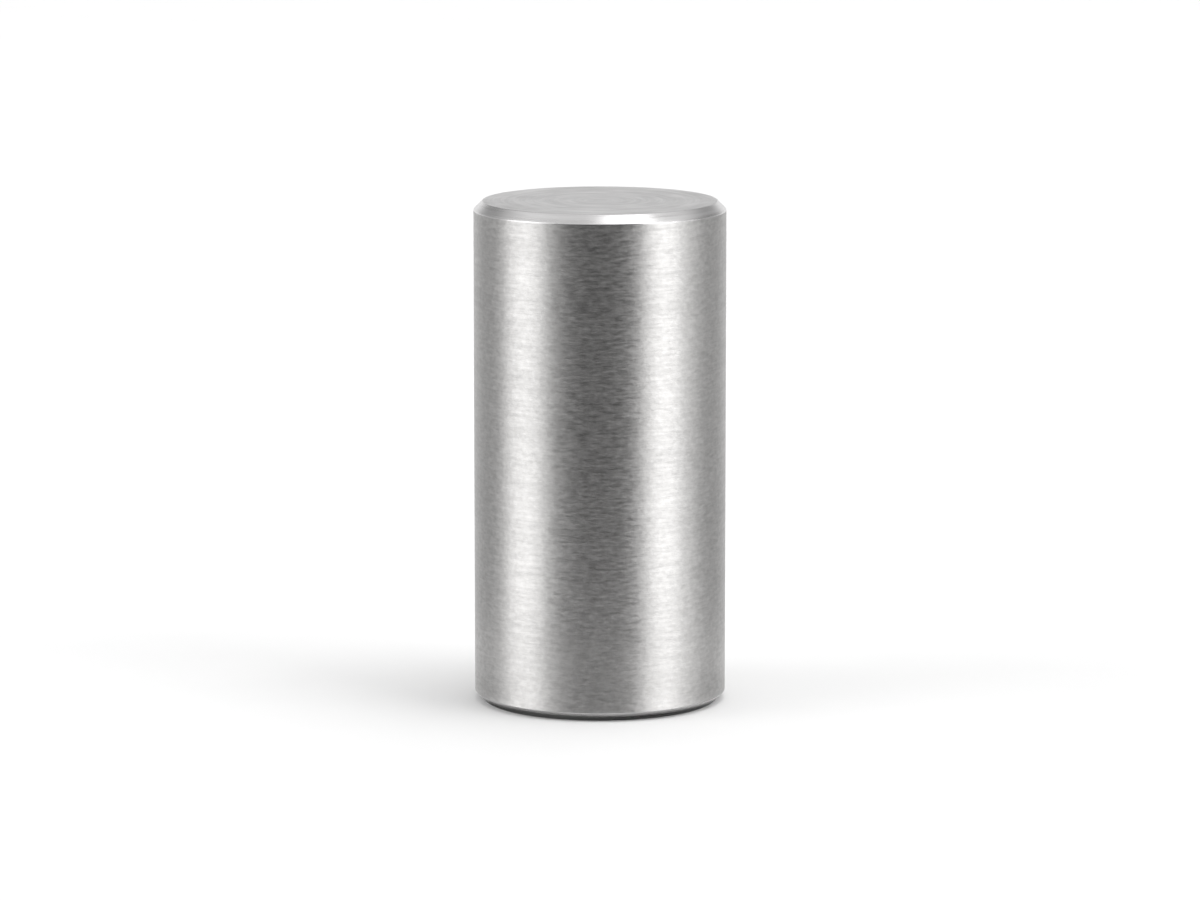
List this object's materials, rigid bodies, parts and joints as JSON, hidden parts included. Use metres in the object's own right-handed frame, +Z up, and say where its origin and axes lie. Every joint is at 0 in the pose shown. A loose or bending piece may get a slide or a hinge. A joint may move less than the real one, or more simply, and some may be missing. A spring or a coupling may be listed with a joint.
{
  "type": "dowel pin",
  "caption": "Straight solid steel dowel pin, 10 mm by 20 mm, ground to diameter, with a small chamfer on each end.",
  "frame": {"origin": "middle of the end face that the pin stands on", "axes": "+Z up along the pin's axis; the pin is round, so +X and +Y are free"},
  "size_m": [0.01, 0.01, 0.02],
  "materials": {
    "ground_steel": "fine centreless-ground satin, with turned chamfers and end faces"
  },
  "bodies": {
    "root": {"dowel_pin": "ground_steel"}
  },
  "joints": []
}
